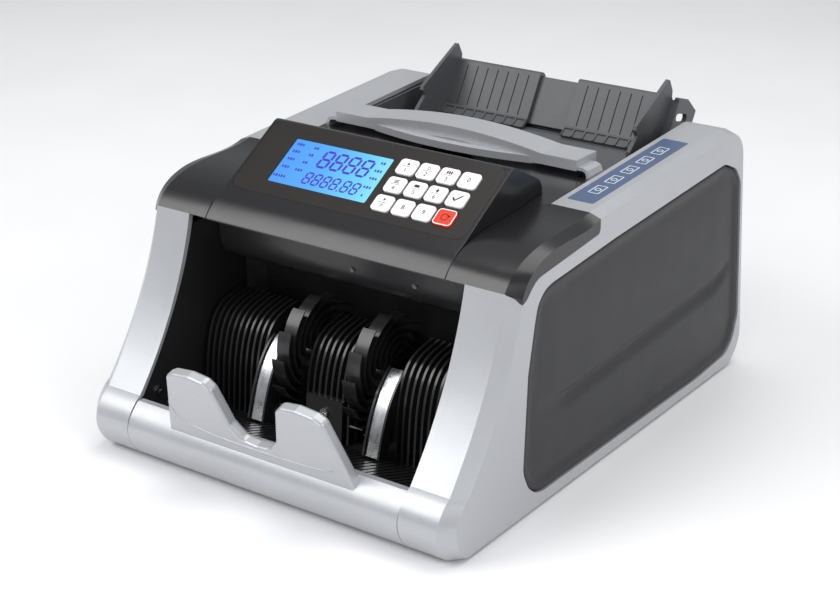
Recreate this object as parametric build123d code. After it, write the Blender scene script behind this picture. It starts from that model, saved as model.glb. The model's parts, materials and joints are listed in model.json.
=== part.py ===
"""Banknote counting machine, millimetres, one STEP file per piece.

The pieces are drawn with y measured from the front bottom corner of the case, z from the
underside of the base and x from the middle. save() then moves every piece so that the origin
is the middle of the footprint on the surface that the rubber feet stand on. Right is +X,
back is +Y, up is +Z.
"""
import os
from math import atan2, cos, degrees, hypot, pi, radians, sin, tan

from build123d import *

os.makedirs("parts", exist_ok=True)

# ---------------------------------------------------------------- driving dimensions
HALF = 130.0              # half of the case width
FACE = 122.6              # half width where the corner bevel of the case starts
BAY = 97.5                # half width of the note bays, between the side covers
WALL = 3.0                # thickness of the silver covers
SEAM = 0.35               # parting gap between neighbouring covers
FOOT_DROP = 2.0           # how far the feet stand out under the base
MIDDLE_Y = 164.5          # y of the middle of the whole footprint
RAIL_START = 146.5        # y where the silver rails begin behind the black cover
COVER_SKIN = 2.5          # thickness of the black covers

CONSOLE_HALF = 84.9       # half width of the control console
PANEL_FOOT = (79.6, 150.1)    # lower edge of the sloping panel, y and z
PANEL_HEAD = (126.5, 179.1)   # upper edge of the sloping panel, y and z
PANEL_WIDTH = 165.0
PANEL_CORNER = 7.0
OVERLAY_THICK = 1.0
DISPLAY = (70.5, 34.0)        # width and height of the display window
DISPLAY_AT = (-25.0, 26.8)    # its middle on the panel
KEY_SIZE = (12.5, 11.3)
KEY_CORNER = 2.5
KEY_COLUMNS = (22.2, 36.2, 50.2, 64.4)
KEY_ROWS = (40.0, 26.0, 12.0)
KEY_GAP = 0.35                # clearance round a key in the panel
KEY_PROUD = 1.1               # height of a key above the overlay
KEY_SINK = 3.4                # depth of a key below the overlay

STOP_LEAN = 18.4          # forward lean of the note stop, degrees
STOP_THICK = 8.0
STOP_FOOT = (2.5, 23.5)   # y and z of the foot of its front face

STACKER_AXIS = (87.0, 53.0)
STACKER_RADIUS = 37.5
STACKER_BLADES = 14
WHEEL_X = 25.5            # middle of a stacker wheel
WHEEL_WIDE = 9.0
RIB_PITCH = 4.3
RIB_THICK = 1.5

FEED_AXIS = (200.0, 84.0)
FEED_RADIUS = 22.0
PICK_AXIS = (258.5, 99.5)
PICK_RADIUS = 18.0
RETARD_AXIS = (206.5, 114.6)
RETARD_RADIUS = 8.0
MOTOR_AXIS = (150.0, 30.0)
SHAFT_RADIUS = 4.0
BUSH_BORE_GAP = 0.05      # running clearance of a shaft in its bush
BUSH_RADIUS = 7.0         # outside of a bush
BUSH_SEAT_GAP = 0.02      # between a bush and its seat in the frame plate

FRAME_X = 104.0           # inner face of the steel side frames
FRAME_THICK = 1.5
PULLEY_X = 108.5          # inner face of the pulleys
PULLEY_WIDE = 7.0
BELT_THICK = 1.4
BELT_GAP = 0.15           # gap between a belt and the pulley it runs on

HOPPER_SLOPE = 32.3       # slope of the hopper floor, degrees
HOPPER_FLOOR_TOP = (296.0, 142.5)
HOPPER_FRONT = 220.0      # y where the hopper floor ends at the feed gap
GUIDE_X = 79.0            # inner face of a note guide's ear at rest
GUIDE_INNER = 14.5        # inner end of its ribbed plate
GUIDE_CREASE = (300.5, 148.6)
GUIDE_BACK_ANGLE = 60.0
GUIDE_BACK_LENGTH = 32.6
GUIDE_THICK = 2.6
GUIDE_RIBS = 8

HANDLE_HALF = 89.5
HANDLE_FRONT, HANDLE_BACK = 190.0, 213.0
HANDLE_TOP = 167.5        # top of the handle at its straight ends
HANDLE_RISE = 5.5         # how much its middle arches up
ARM_FRONT, ARM_BACK = 190.5, 206.5    # depth of the strap arms at the ends of the handle
ARM_FOOT = 121.0          # lower end of the arms
ARM_INNER, ARM_OUTER = 94.4, 96.4

# side view of the case: corners as (y, z)
NOSE = (-2.0, 20.0)
LIP_TOP = (10.0, 36.0)
COVER_LIP = (60.0, 134.8)     # front edge of the black cover
COVER_HEAD = (RAIL_START, 155.5)
RAIL_END = (305.0, 164.0)
BACK_HEAD = (326.0, 143.6)
BACK_FOOT = (339.0, 20.0)
BASE_FRONT, BASE_BACK = 8.0, 317.0
BASE_HALF = 124.5             # half width of the base tray
BACK_SLOPE = degrees(atan2(BACK_FOOT[0] - BACK_HEAD[0], BACK_HEAD[1] - BACK_FOOT[1]))
PANEL_LENGTH = hypot(PANEL_HEAD[0] - PANEL_FOOT[0], PANEL_HEAD[1] - PANEL_FOOT[1])

# outline of the dark panel let into each side, and the radius that smooths its corners
PANEL_POINTS = (
    (92.9, 7.0), (83.9, 9.3), (76.3, 15.8), (70.7, 27.0), (73.5, 84.9), (79.2, 113.3),
    (81.8, 123.3), (88.5, 129.7), (96.1, 131.5), (164.5, 136.6), (301.0, 143.8),
    (317.6, 136.6), (325.1, 126.2), (334.2, 31.7), (329.2, 16.5), (320.1, 8.6), (278.4, 6.0),
)
PANEL_ROUND = 20.0

# front of the ribbed wall and line of the polished strips, from below to the top
RIB_FRONT = [(62.0, 12.0), (63.6, 30.0), (65.0, 44.0), (67.6, 56.0), (71.6, 65.5),
             (77.5, 72.0), (86.0, 75.6), (100.0, 78.0)]
RIB_DEEP = 5.0                # depth of the ribs in front of their wall
STRIP_LINE = [(49.5, 20.0), (52.5, 30.0), (58.0, 44.0), (66.0, 56.5), (76.0, 65.0)]
STRIP_X = (38.0, 46.5)        # inner and outer edge of a strip

FEED_PULLEY, STACKER_PULLEY, PICK_PULLEY, MOTOR_PULLEY = 14.0, 20.0, 14.0, 8.0    # radii

INLET_AT = (60.0, 40.0)       # x and z of the mains inlet
SWITCH_AT = (22.0, 40.0)      # x and z of the rocker switch
INLET_SIZE = (27.4, 19.8)
SWITCH_SIZE = (13.0, 19.8)
ROCKER_HALF = 7.6             # half height of the rocker
ROCKER_PIVOT = -3.0           # depth of its pivot
ROCKER_TILT = 9.0             # tilt to each side, degrees


# ---------------------------------------------------------------- small helpers
def save(name, shape):
    """Move a piece to the origin of the machine and write it."""
    placed = Pos(0, -MIDDLE_Y, FOOT_DROP) * shape
    export_step(placed, f"parts/{name}.step")


def yz(*lines):
    """A face in the Y-Z plane from closed edges drawn as (y, z)."""
    return make_face([Plane.YZ * line for line in lines])


def poly(points):
    """A face in the Y-Z plane from its corners (y, z)."""
    return yz(Polyline(*points, close=True))


def slab(face, x_low, x_high):
    """A Y-Z face stretched from x_low to x_high."""
    return extrude(Pos(x_low, 0, 0) * face, x_high - x_low, dir=(1, 0, 0))


def both(face, x_low, x_high):
    """The same slab on the right and on the left, as two solids."""
    right = slab(face, x_low, x_high)
    return right + mirror(right, Plane.YZ)


def block(x, y, z):
    """An upright box from three (low, high) pairs."""
    size = (x[1] - x[0], y[1] - y[0], z[1] - z[0])
    centre = ((x[0] + x[1]) / 2, (y[0] + y[1]) / 2, (z[0] + z[1]) / 2)
    return Pos(*centre) * Box(*size)


def rod(axis, radius, x_low, x_high):
    """A cylinder along X about axis (y, z)."""
    disc = Plane.YZ * Pos(*axis) * Circle(radius)
    return slab(disc, x_low, x_high)


def tube(axis, outer, inner, x_low, x_high):
    """A ring along X about axis (y, z)."""
    return rod(axis, outer, x_low, x_high) - rod(axis, inner, x_low - 1, x_high + 1)


def group(*shapes):
    """Separate solids kept side by side in one node."""
    solids = [solid for shape in shapes for solid in shape.solids()]
    return Compound(children=solids)


def rounded(shape, edges, radius):
    """Fillet, with smaller radii where the first one doesn't fit."""
    for factor in (1.0, 0.7, 0.45, 0.25):
        try:
            return fillet(edges, radius * factor)
        except ValueError:
            continue
    return shape


# ---------------------------------------------------------------- case outlines
def case_outline(inset=0.0, front=0.0, top=0.0):
    """Side view of the case. inset moves all of it in, front and top one side of it more."""
    low = inset
    y_in = inset + front
    z_in = inset + top
    foot = (BASE_FRONT + y_in, low)
    nose = (NOSE[0] + y_in, NOSE[1])
    lip = (LIP_TOP[0] + y_in, LIP_TOP[1] - 0.3 * inset)
    cover_lip = (COVER_LIP[0] + y_in, COVER_LIP[1] - z_in)
    rail = (COVER_HEAD[0], COVER_HEAD[1] - z_in)
    rail_end = (RAIL_END[0] - inset, RAIL_END[1] - z_in)
    head = (BACK_HEAD[0] - inset, BACK_HEAD[1] - inset)
    back = (BACK_FOOT[0] - inset, BACK_FOOT[1])
    base_back = (BASE_BACK - inset, low)
    return yz(
        Line(foot, base_back),
        ThreePointArc(base_back, (333.0 - inset, 5.5 + inset), back),
        Line(back, head),
        ThreePointArc(head, (320.5 - inset, 157.5 - z_in), rail_end),
        Line(rail_end, rail),
        Spline(rail, (79.0 + y_in * 0.4, 149.0 - z_in), cover_lip,
               tangents=[(-1, -0.05), (-0.5, -1)], tangent_scalars=[0.8, 0.8]),
        Spline(cover_lip, (45.5 + y_in, 91.7), (20.0 + y_in, 48.7), lip),
        Spline(lip, (1.0 + y_in, 27.5), nose, (1.5 + y_in, 7.0), foot),
    )


def side_panel_face(shrink=0.0):
    """Outline of the dark panel let into each side."""
    face = poly(PANEL_POINTS)
    face = rounded(face, face.vertices(), PANEL_ROUND)
    if shrink:
        face = offset(face, -shrink)
    return face


def cover_outline(lip_top, lip_low, fall, crown):
    """Side view of the black cover: its lower edge falls from the rail to the lip, its crown is
    the upper edge from the rail back to the lip."""
    band_turn, band_end, corner = (85.5, 139.3), (144.6, 144.8), (RAIL_START, 147.5)
    return yz(
        Line(lip_top, lip_low),
        Spline(lip_low, fall, band_turn, tangents=[(1, 0.1), (1, 0.12)]),
        Line(band_turn, band_end),
        ThreePointArc(band_end, (145.95, 145.88), corner),
        Line(corner, crown[0]),
        Spline(*crown, lip_top),
    )


def cover_blank():
    """The black cover over the front of the case, before it is hollowed, right and left."""
    middle = cover_outline(COVER_LIP, (63.0, 133.6), (73.0, 135.0),
                           [COVER_HEAD, (112.0, 152.9), (84.0, 149.8), (68.5, 143.4)])
    side = cover_outline((66.2, 131.5), (66.0, 128.4), (74.0, 133.4),
                         [(RAIL_START, 153.0), (112.0, 150.4), (86.0, 147.6), (73.0, 140.9)])
    core = slab(middle, -FACE, FACE)
    bevel = loft([Pos(FACE, 0, 0) * middle, Pos(HALF, 0, 0) * side], ruled=True)
    return core + bevel + mirror(bevel, Plane.YZ)


# ---------------------------------------------------------------- outer covers
def side_cover():
    """Right silver cover: front pillar, side skin and top rail in one shell."""
    full = case_outline()
    side = case_outline(front=8.0, top=2.5)
    shell = slab(full, BAY, FACE)
    shell += loft([Pos(FACE, 0, 0) * full, Pos(HALF, 0, 0) * side], ruled=True)
    shell -= slab(case_outline(inset=WALL), BAY - 5, FACE - 3.0)
    shell -= slab(case_outline(inset=9.0, front=3.0), FACE - 4.0, HALF - WALL - 0.4)
    shell -= slab(side_panel_face(), HALF - 6, HALF + 2)
    blank = cover_blank()
    shell -= blank
    shell -= Pos(0, 0, -SEAM) * blank
    shell -= block((BAY - 5, BASE_HALF + 0.4), (12.7, 316.4), (-1, 6.0))
    return shell.solids().sort_by(SortBy.VOLUME)[-1]


def side_panel():
    """Right dark side panel, sunk a little in the silver cover."""
    panel = slab(side_panel_face(0.3), HALF - 5.0, HALF - 0.8)
    panel = rounded(panel, panel.faces().sort_by(Axis.X)[-1].edges(), 1.6)
    hollow = slab(side_panel_face(6.0), HALF - 6.0, HALF - 3.2)
    return panel - hollow


def base_tray():
    """Flat floor of the case with a low wall all round."""
    tray = block((-BASE_HALF, BASE_HALF), (13.0, 304.6), (0.0, 5.6))
    tray -= block((-BASE_HALF + 2, BASE_HALF - 2), (15.0, 302.6), (2.5, 10.0))
    tray -= block((-98.5, 98.5), (12.0, 17.0), (2.5, 10.0))
    tray -= block((-98.5, 98.5), (300.0, 306.0), (2.5, 10.0))
    for y in range(190, 290, 12):
        tray -= block((-40, 40), (y, y + 5), (-1, 4))
    return tray


def lip_front():
    """Side view of the front of the lip."""
    return Spline((8.0, 33.7), (1.0, 26.5), NOSE, (1.5, 7.0), (BASE_FRONT, 0.0))


def front_lip():
    """Silver skirt between the pillars, with the rounded nose."""
    outer = yz(
        lip_front(),
        Line((BASE_FRONT, 0.0), (12.5, 0.0)),
        Line((12.5, 0.0), (12.5, 3.0)),
        Spline((12.5, 3.0), (5.0, 9.0), (2.2, 20.0), (5.0, 25.6), (12.0, 31.2)),
        Line((12.0, 31.2), (12.0, 33.7)),
        Line((12.0, 33.7), (8.0, 33.7)),
    )
    return slab(outer, -BAY + SEAM, BAY - SEAM)


def stop_plane(setback=0.0):
    """Plane of the note stop's front face: local x is X, local y goes up the stop."""
    lean = radians(STOP_LEAN)
    normal = (0, -cos(lean), -sin(lean))
    origin = (0, STOP_FOOT[0] + setback, STOP_FOOT[1])
    return Plane(origin=origin, x_dir=(1, 0, 0), z_dir=normal)


def note_stop():
    """Silver front stop with two lobes and a thumb notch between them."""
    right = [(34.0, -4.5), (68.0, 0.0), (55.5, 46.5), (50.5, 49.5), (38.0, 51.1), (27.0, 49.5),
             (22.8, 45.5), (16.6, 21.5), (9.5, 13.2), (0.0, 12.0)]
    left = [(-x, t) for x, t in right[-2::-1]]
    face = make_face(Polyline((0.0, -6.0), *right, *left, close=True))
    round_corners = [v for v in face.vertices() if 5 < abs(v.X) < 60 and v.Y > 5]
    face = fillet([v for v in round_corners if not 33 < abs(v.X) < 40], 4.0)
    plate = extrude(stop_plane() * face, -STOP_THICK)
    flat = [f for f in plate.faces() if abs(f.normal_at().X) < 0.01 and f.area > 2000]
    edges = [e for f in flat for e in f.edges() if e.center().Z > STOP_FOOT[1] + 6]
    behind = yz(lip_front(), Line((BASE_FRONT, 0.0), (40.0, 0.0)),
                Line((40.0, 0.0), (40.0, 33.7)), Line((40.0, 33.7), (8.0, 33.7)))
    return rounded(plate, edges, 2.4) - slab(behind, -BAY, BAY)


def top_cover():
    """Glossy black cover round the console, with the deck that runs back to the hopper."""
    blank = cover_blank()
    cover = blank - Pos(0, COVER_SKIN, -COVER_SKIN) * slab(poly([
        (60.0, 120.0), COVER_LIP, (66.0, 141.6), (74.0, 146.8), (84.0, 150.0),
        (112.0, 152.9), (144.0, 155.3), (144.0, 120.0)]), -FACE + 2, FACE - 2)
    rise = 8.5 / 158.5
    deck_end = 205.0
    head = COVER_HEAD[1] + rise * (deck_end - RAIL_START)
    deck = poly([
        (140.0, 152.4), (144.0, 155.3), COVER_HEAD, (deck_end, head), (deck_end + 3.0, head - 3),
        (deck_end + 8.0, 128.0), (deck_end + 5.4, 128.0), (deck_end, head - 5.0),
        (deck_end - 1.6, head - COVER_SKIN), (RAIL_START, COVER_HEAD[1] - COVER_SKIN)])
    cover += slab(deck, -BAY + SEAM, BAY - SEAM)
    gap = CONSOLE_HALF + SEAM / 2
    cover -= block((-gap, gap), (50.0, 158.3), (100.0, 190.0))
    for side in (-1, 1):
        sleeve = sorted((side * (ARM_INNER - 2.4), side * (BAY - SEAM)))
        cover += block(sleeve, (ARM_FRONT - 3, ARM_BACK + 2.4), (146.0, head - COVER_SKIN))
        slot = sorted((side * (ARM_INNER - 0.4), side * (BAY + 1)))
        cover -= block(slot, (ARM_FRONT - 0.5, ARM_BACK + 0.5), (140.0, 165.0))
        shoulder = sorted((side * (HANDLE_HALF - 1.0), side * (ARM_INNER + 1)))
        cover -= block(shoulder, (ARM_FRONT - 0.5, ARM_BACK + 0.5), (156.8, 165.0))
    scoop_y, scoop_z = 180.0, 174.0
    cover -= Pos(0, scoop_y, scoop_z) * Sphere(26.0) & block((-40, 40), (150, 200), (151, 170))
    return cover.solids().sort_by(SortBy.VOLUME)[-1]


# ---------------------------------------------------------------- control console
def panel_plane(height=0.0):
    """Sloping panel: local x is X, local y runs up the slope, height above the console face."""
    run = PANEL_HEAD[0] - PANEL_FOOT[0]
    lift = PANEL_HEAD[1] - PANEL_FOOT[1]
    slope = atan2(lift, run)
    normal = (0, -sin(slope), cos(slope))
    origin = (0, PANEL_FOOT[0] + normal[1] * height, PANEL_FOOT[1] + normal[2] * height)
    return Plane(origin=origin, x_dir=(1, 0, 0), z_dir=normal)


def on_panel(face, low, high):
    """Stretch a face drawn on the panel from height low to height high."""
    return extrude(panel_plane(low) * face, high - low)


def key_holes(low, high):
    """Cutters for the twelve keys."""
    hole = RectangleRounded(KEY_SIZE[0] + 2 * KEY_GAP, KEY_SIZE[1] + 2 * KEY_GAP, KEY_CORNER)
    return [on_panel(Pos(x, s) * hole, low, high) for x in KEY_COLUMNS for s in KEY_ROWS]


def console_housing():
    """Black wedge that carries the panel, hollow and open underneath."""
    outer = yz(
        Spline(COVER_LIP, (66.0, 141.6), (72.5, 146.4), PANEL_FOOT,
               tangents=[(0.5, 1), (0.85, 0.53)], tangent_scalars=[0.6, 0.6]),
        Line(PANEL_FOOT, (124.6, 177.92)),
        ThreePointArc((124.6, 177.92), (127.3, 178.7), (130.0, 178.2)),
        Line((130.0, 178.2), (150.5, 167.6)),
        ThreePointArc((150.5, 167.6), (155.6, 163.9), (158.0, 158.4)),
        Line((158.0, 158.4), (158.0, 155.0)),
        Line((158.0, 155.0), (144.0, 152.8)),
        Line((144.0, 152.8), (84.0, 147.4)),
        Line((84.0, 147.4), (63.5, 133.6)),
        Line((63.5, 133.6), COVER_LIP),
    )
    half = CONSOLE_HALF - SEAM / 2
    housing = slab(outer, -half, half)
    top_edges = [e for f in housing.faces() if abs(abs(f.center().X) - half) < 0.01
                 for e in f.edges() if e.center().Z > 156 and e.center().Y > 84]
    housing = rounded(housing, top_edges, 1.6)
    cavity = poly([(86.0, 140.0), (86.0, 150.4), (125.5, 174.8), (129.5, 175.2),
                   (149.0, 165.2), (154.8, 159.6), (154.8, 140.0)])
    housing -= slab(cavity, -half + 2.5, half - 2.5)
    sink = RectangleRounded(PANEL_WIDTH + 0.3, PANEL_LENGTH + 0.1, PANEL_CORNER)
    housing -= on_panel(Pos(0, PANEL_LENGTH / 2 - 0.4) * sink, -OVERLAY_THICK, 3)
    window = RectangleRounded(DISPLAY[0] + 0.6, DISPLAY[1] + 0.6, 1.0)
    housing -= on_panel(Pos(*DISPLAY_AT) * window, -8, 3)
    for hole in key_holes(-8, 3):
        housing -= hole
    return housing.solids().sort_by(SortBy.VOLUME)[-1]


def console_overlay():
    """Printed panel sheet with the display window and the key openings."""
    sheet = RectangleRounded(PANEL_WIDTH, PANEL_LENGTH - 0.2, PANEL_CORNER)
    overlay = on_panel(Pos(0, PANEL_LENGTH / 2 - 0.4) * sheet, -OVERLAY_THICK, 0.0)
    window = RectangleRounded(DISPLAY[0] + 0.6, DISPLAY[1] + 0.6, 1.0)
    overlay -= on_panel(Pos(*DISPLAY_AT) * window, -3, 1)
    for hole in key_holes(-3, 1):
        overlay -= hole
    return overlay


def display_module():
    """Liquid crystal display with its backlight block behind the window."""
    glass = on_panel(Pos(*DISPLAY_AT) * RectangleRounded(*DISPLAY, 0.8), -5.0, -0.25)
    frame = on_panel(Pos(*DISPLAY_AT) * Rectangle(76.0, 38.0), -8.0, -4.2)
    return glass + frame


def key(x, s):
    """One key cap with a skirt that keeps it in the panel."""
    cap = on_panel(Pos(x, s) * RectangleRounded(*KEY_SIZE, KEY_CORNER), -KEY_SINK, KEY_PROUD)
    top = max(cap.faces(), key=lambda f: f.center().dot(Vector(*panel_plane().z_dir)))
    return rounded(cap, top.edges(), 0.5)


def control_board():
    """Board under the panel with one dome switch below each key and a driver chip."""
    board = on_panel(Pos(0, 27.0) * Rectangle(150.0, 48.0), -10.2, -8.6)
    for x in KEY_COLUMNS:
        for s in KEY_ROWS:
            board += on_panel(Pos(x, s) * Circle(3.2), -8.6, -KEY_SINK - 1.4)
    board += on_panel(Pos(-62.0, 27.0) * Rectangle(9.0, 22.0), -12.2, -10.2)
    return board


# ---------------------------------------------------------------- carrying handle
def carry_handle():
    """Silver bar with a raised middle, a finger lip in front and a hooked strap arm at each end."""
    steps = 8
    straight = 64.0
    crown = [(HANDLE_HALF - 1.5, HANDLE_TOP), (straight, HANDLE_TOP)]
    for i in range(1, 2 * steps):
        x = straight * (1 - i / steps)
        crown.append((x, HANDLE_TOP + HANDLE_RISE * cos(pi / 2 * x / straight) ** 0.9))
    crown += [(-straight, HANDLE_TOP), (-HANDLE_HALF + 1.5, HANDLE_TOP)]
    under = [(x, z - 6.4 if abs(x) > 60 else z - 8.0) for x, z in reversed(crown)]
    front = make_face(Polyline(*crown, *under, close=True))
    plane = Plane(origin=(0, HANDLE_FRONT, 0), x_dir=(1, 0, 0), z_dir=(0, -1, 0))
    bar = extrude(plane * front, -(HANDLE_BACK - HANDLE_FRONT))
    lip = make_face([ThreePointArc((-58, 0), (0, -7.5), (58, 0)), Line((58, 0), (-58, 0))])
    lip = Pos(0, HANDLE_FRONT + 0.5, 160.2) * extrude(lip, 4.4)
    bar += lip
    crook, thick = 4.6, ARM_OUTER - ARM_INNER
    top = 163.6
    strap = [
        (HANDLE_HALF - 4, top), (ARM_OUTER - crook, top), (ARM_OUTER - 1.35, top - 1.35),
        (ARM_OUTER, top - crook), (ARM_OUTER, ARM_FOOT), (ARM_INNER - 2.0, ARM_FOOT),
        (ARM_INNER - 2.0, ARM_FOOT + 2.0), (ARM_INNER, ARM_FOOT + 2.0),
        (ARM_INNER, top - crook), (ARM_INNER - 0.8, top - thick - 0.8),
        (ARM_OUTER - crook, top - thick), (HANDLE_HALF - 4, top - thick)]
    plane = Plane(origin=(0, ARM_FRONT, 0), x_dir=(1, 0, 0), z_dir=(0, -1, 0))
    arm = extrude(plane * make_face(Polyline(*strap, close=True)), ARM_FRONT - ARM_BACK)
    return bar + arm + mirror(arm, Plane.YZ)


# ---------------------------------------------------------------- hopper
def floor_height(y):
    """Height of the hopper floor at y."""
    return HOPPER_FLOOR_TOP[1] - (HOPPER_FLOOR_TOP[0] - y) * tan(radians(HOPPER_SLOPE))


def hopper_tray():
    """Sloping floor and side walls that the notes lie in, with slots for the pick rollers."""
    low, high = (HOPPER_FRONT, floor_height(HOPPER_FRONT)), HOPPER_FLOOR_TOP
    floor = poly([low, high, (302.0, high[1]), (302.0, high[1] - 2.5),
                  (high[0] + 1, high[1] - 2.5), (low[0] + 1.5, low[1] - 2.4)])
    tray = slab(floor, -96.9, 96.9)
    wall = poly([(216.5, 122.0), low, high, (302.6, high[1]), (302.6, 160.4), (216.5, 156.0)])
    tray += both(wall, 94.9, 96.9)
    for side in (-1, 1):
        slot = sorted((side * 19.0, side * 43.0))
        tray -= rod(PICK_AXIS, PICK_RADIUS + 1.2, *slot)
    return tray


def hopper_frame():
    """Fixed back of the hopper with its two end brackets; the guides hook over its top."""
    angle = radians(GUIDE_BACK_ANGLE)
    along, normal = (cos(angle), sin(angle)), (sin(angle), -cos(angle))

    def at(length, depth):
        y = GUIDE_CREASE[0] + along[0] * length + normal[0] * depth
        return (y, GUIDE_CREASE[1] + along[1] * length + normal[1] * depth)

    plate = poly([at(-2.2, 3.0), at(30.2, 3.0), at(30.2, 5.4), at(2.0, 5.4), (326.0, 147.0),
                  (326.0, 144.4), (302.5, 144.4)])
    frame = slab(plate, -84.0, 84.0)
    rear = GUIDE_CREASE[0] + 2.2
    bracket = poly([(rear, 148.0), at(29.0, 3.4), (318.0, 175.2), (331.0, 171.2),
                    (342.5, 161.0), (337.5, 153.0), (325.5, 144.4), (303.0, 144.4)])
    bracket = fillet(bracket.vertices(), 1.2)
    ends = both(bracket, 84.0, 87.0)
    slot = Plane.YZ * Pos(322.5, 161.0) * Rot(0, 0, -14) * SlotOverall(15.0, 5.2)
    return frame + ends - both(slot, 80.0, 90.0)


def note_guide():
    """Right note guide: ear, ribbed back plate, short ribbed floor and hook over the frame."""
    angle = radians(GUIDE_BACK_ANGLE)
    along, normal = (cos(angle), sin(angle)), (sin(angle), -cos(angle))
    fall = radians(HOPPER_SLOPE)

    def at(length, depth):
        y = GUIDE_CREASE[0] + along[0] * length + normal[0] * depth
        return (y, GUIDE_CREASE[1] + along[1] * length + normal[1] * depth)

    toe = (GUIDE_CREASE[0] - 7.5 * cos(fall), GUIDE_CREASE[1] - 7.5 * sin(fall))
    top = GUIDE_BACK_LENGTH
    section = poly([
        toe, GUIDE_CREASE, at(top - 1.5, 0.0), at(top, 1.4), at(top + 0.4, 4.0),
        at(top - 0.6, 7.2), at(top - 7.0, 8.4), at(top - 7.0, 6.6), at(top - 1.8, 5.8),
        at(top - 1.9, GUIDE_THICK), at(-0.5, GUIDE_THICK),
        (toe[0] + 1.2, toe[1] - 1.9)])
    guide = slab(section, GUIDE_INNER, GUIDE_X + 1.0)
    pitch = (GUIDE_X - GUIDE_INNER) / GUIDE_RIBS
    back_groove = poly([at(1.0, -1.0), at(top - 4.0, -1.0), at(top - 4.0, 0.7), at(1.0, 0.7)])
    cell = poly([
        (toe[0] - 3.0, toe[1] - 0.2), (GUIDE_CREASE[0] - 1.6, GUIDE_CREASE[1] + 0.8),
        (GUIDE_CREASE[0] - 1.0, GUIDE_CREASE[1] - 1.5), (toe[0] - 2.0, toe[1] - 2.2)])
    for i in range(GUIDE_RIBS):
        x = GUIDE_INNER + i * pitch
        if i:
            guide -= slab(back_groove, x - 0.45, x + 0.45)
        guide -= slab(cell, x + 0.7, x + pitch - 0.7)
    ear = poly([
        (314.5, 187.3), (309.0, 184.6), (273.5, 166.4), (272.6, 163.9), (275.6, 159.6),
        (266.0, 151.5), (262.0, floor_height(262.0) + 1.2), (290.0, floor_height(290.0) + 1.2),
        at(-1.2, GUIDE_THICK), at(18.0, GUIDE_THICK), at(top - 0.5, GUIDE_THICK),
        at(top + 3.0, 1.0)])
    ear = fillet(ear.vertices().sort_by(Axis.Z)[-1], 1.2)
    guide += slab(ear, GUIDE_X, GUIDE_X + 2.6)
    return guide


# ---------------------------------------------------------------- note transport
def tyre_pair(axis, radius, x_low, x_high):
    """Two rubber rollers, one each side of the middle."""
    ring = tube(axis, radius, SHAFT_RADIUS, x_low, x_high)
    return group(ring, mirror(ring, Plane.YZ))


def toothed_disc(axis, radius, teeth):
    """Belt pulley with shallow teeth and one flange, along X."""
    x_low, x_high = PULLEY_X, PULLEY_X + PULLEY_WIDE
    disc = rod(axis, radius, x_low, x_high)
    for i in range(teeth):
        angle = 2 * pi * i / teeth
        notch = (axis[0] + radius * cos(angle), axis[1] + radius * sin(angle))
        disc -= rod(notch, 0.55, x_low - 1, x_high + 1)
    disc += rod(axis, radius + 1.2, x_low - 1.2, x_low)
    return disc


def driven_shaft(axis, radius, teeth, sides):
    """A shaft with a toothed pulley turned on its right (1) or left (-1) end, or on both."""
    bar = rod(axis, SHAFT_RADIUS, -PULLEY_X + 0.5, PULLEY_X - 0.5)
    disc = toothed_disc(axis, radius, teeth)
    disc += rod(axis, SHAFT_RADIUS, PULLEY_X - 2.0, PULLEY_X + PULLEY_WIDE + 1.5)
    for side in sides:
        bar += disc if side > 0 else mirror(disc, Plane.YZ)
    return bar


def belt(wheels, side):
    """Toothed belt stretched round its pulleys, given as (axis, radius)."""
    def loop(extra):
        edges = [(Pos(*axis) * Circle(radius + extra)).edge() for axis, radius in wheels]
        return Plane.YZ * make_hull(edges)

    x_low, x_high = PULLEY_X + 0.6, PULLEY_X + PULLEY_WIDE - 0.4
    band = slab(loop(BELT_GAP + BELT_THICK), x_low, x_high)
    band -= slab(loop(BELT_GAP), x_low - 1, x_high + 1)
    return band if side > 0 else mirror(band, Plane.YZ)


def frame_plate():
    """Right steel side frame with bores for the bushes."""
    outline = poly([(72.0, 2.6), (296.0, 2.6), (300.0, 118.0), (284.0, 132.0), (214.0, 134.0),
                    (196.0, 136.0), (150.0, 136.0), (118.0, 122.0), (106.0, 104.0),
                    (72.0, 96.0)])
    outline = fillet(outline.vertices(), 5.0)
    plate = slab(outline, FRAME_X, FRAME_X + FRAME_THICK)
    for axis in (STACKER_AXIS, FEED_AXIS, PICK_AXIS):
        plate -= rod(axis, BUSH_RADIUS + BUSH_SEAT_GAP, 100, 110)
    return plate - rod(MOTOR_AXIS, 5.0, 100, 110)


def shaft_bushes():
    """Bronze bushes pressed in the frame plates, two for each shaft."""
    bushes = []
    for axis in (STACKER_AXIS, FEED_AXIS, PICK_AXIS):
        bush = tube(axis, BUSH_RADIUS, SHAFT_RADIUS + BUSH_BORE_GAP, FRAME_X - 1.5, FRAME_X + 2.5)
        bushes += [bush, mirror(bush, Plane.YZ)]
    return group(*bushes)


def retard_rollers():
    """Fixed rubber rollers over the feed rollers, on their cross bar."""
    ring = tube(RETARD_AXIS, RETARD_RADIUS, 3.0, 22.0, 38.0)
    return group(ring, mirror(ring, Plane.YZ))


def retard_bar():
    """Steel cross bar that holds the retard rollers between the frames."""
    return rod(RETARD_AXIS, 3.0, -FRAME_X, FRAME_X)


def path_plate():
    """Lower note path from the feed rollers to the stacker wheels, and the wall under it."""
    plate = poly([(128.0, 87.0), (150.0, 92.0), (181.0, 99.3), (181.0, 96.9), (150.5, 89.6),
                  (128.5, 84.6)])
    shape = slab(plate, -96.0, 96.0)
    shape += block((-96.0, 96.0), (127.0, 129.0), (6.0, 85.6))
    shape += both(poly([(136.0, 70.0), (170.0, 70.0), (170.0, 94.4), (136.0, 87.0)]),
                  94.0, 96.0)
    return shape - block((-14, 14), (150, 166), (80, 110))


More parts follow.
